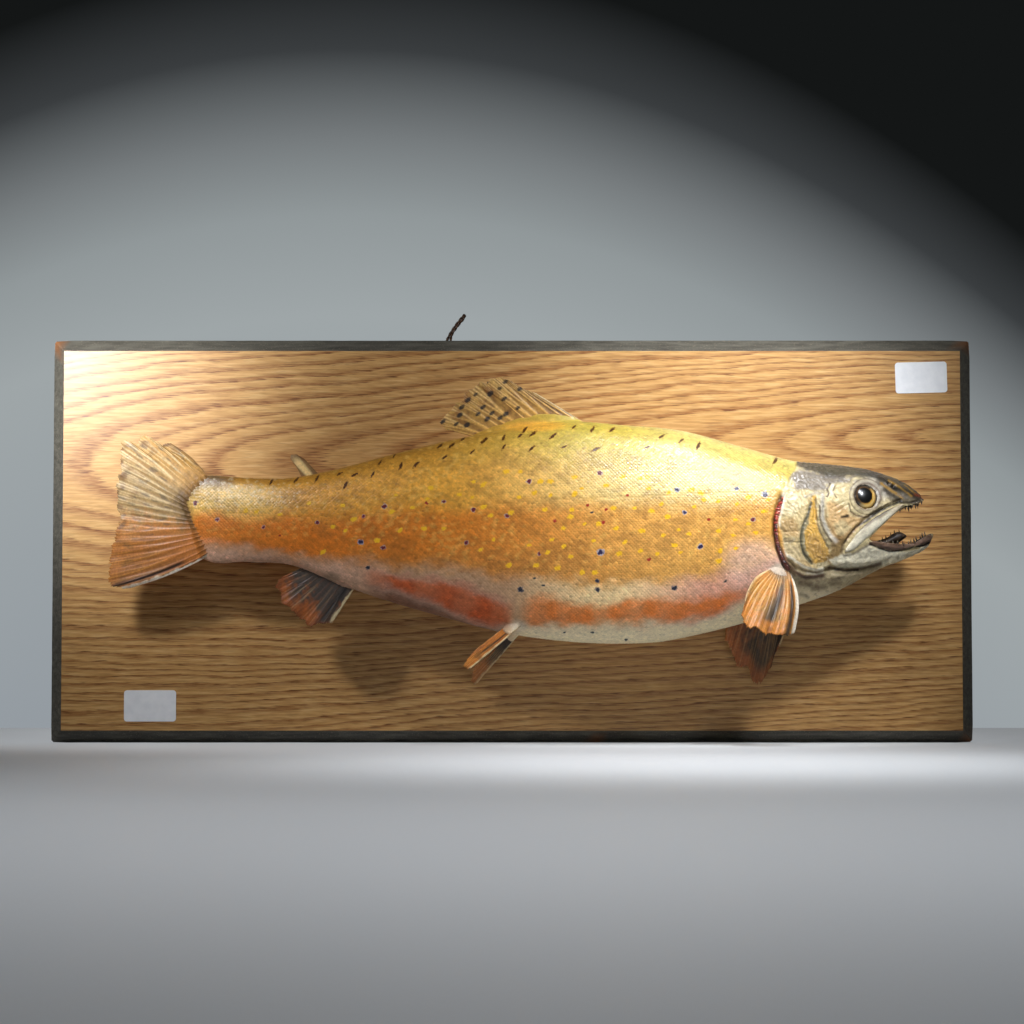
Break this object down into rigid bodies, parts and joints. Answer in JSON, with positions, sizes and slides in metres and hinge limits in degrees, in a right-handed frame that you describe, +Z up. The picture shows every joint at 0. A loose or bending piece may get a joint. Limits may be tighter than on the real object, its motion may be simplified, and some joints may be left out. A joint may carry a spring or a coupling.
{
  "type": "mounted trophy fish",
  "caption": "Brook trout skin mount with its mouth open, facing right on a rectangular oak board with a dark bevelled edge, blank paper labels and a brown hanging loop on top.",
  "frame": {"origin": "on the board's back face, where it lies against the wall, midway along the board and 147 mm above its bottom edge", "axes": "+X along the fish towards its snout, +Y into the wall, +Z up"},
  "size_m": [0.677, 0.126, 0.3167],
  "materials": {
    "fish_skin": "painted and varnished fish skin, clear gloss",
    "fin": "painted dried fin, varnished, thin and rayed",
    "bone": "painted jawbone, cream, satin varnish",
    "gill": "painted gill filaments, glossy dark red",
    "mouth": "painted mouth lining and tongue, dark, satin",
    "eye_glass": "glass eye with a painted back, polished",
    "oak": "oak veneer under clear varnish, edge painted dark grey brown",
    "steel": "zinc plated screw",
    "cord": "stiff twisted brown cord, waxed",
    "paper": "white self-adhesive label, blank, matt"
  },
  "bodies": {
    "root": {"head": "fish_skin", "lower_jaw": "fish_skin", "throat": "fish_skin", "trunk": "fish_skin", "tail_stem": "fish_skin", "gill_cover_near": "fish_skin", "gill_cover_far": "fish_skin", "gills_near": "gill", "gills_far": "gill", "upper_jawbone_near": "bone", "upper_jawbone_far": "bone", "eye_near": "eye_glass", "eye_far": "eye_glass", "tongue": "mouth", "dorsal_fin": "fin", "adipose_fin": "fin", "anal_fin": "fin", "caudal_fin": "fin", "pelvic_fin_near": "fin", "pelvic_fin_far": "fin", "pectoral_fin_near": "fin", "pectoral_fin_far": "fin", "board": "oak", "mounting_block": "oak", "block_screw_left": "steel", "block_screw_right": "steel", "hanging_loop": "cord", "loop_screw": "steel", "label_lower": "paper", "label_upper": "paper"}
  },
  "joints": []
}
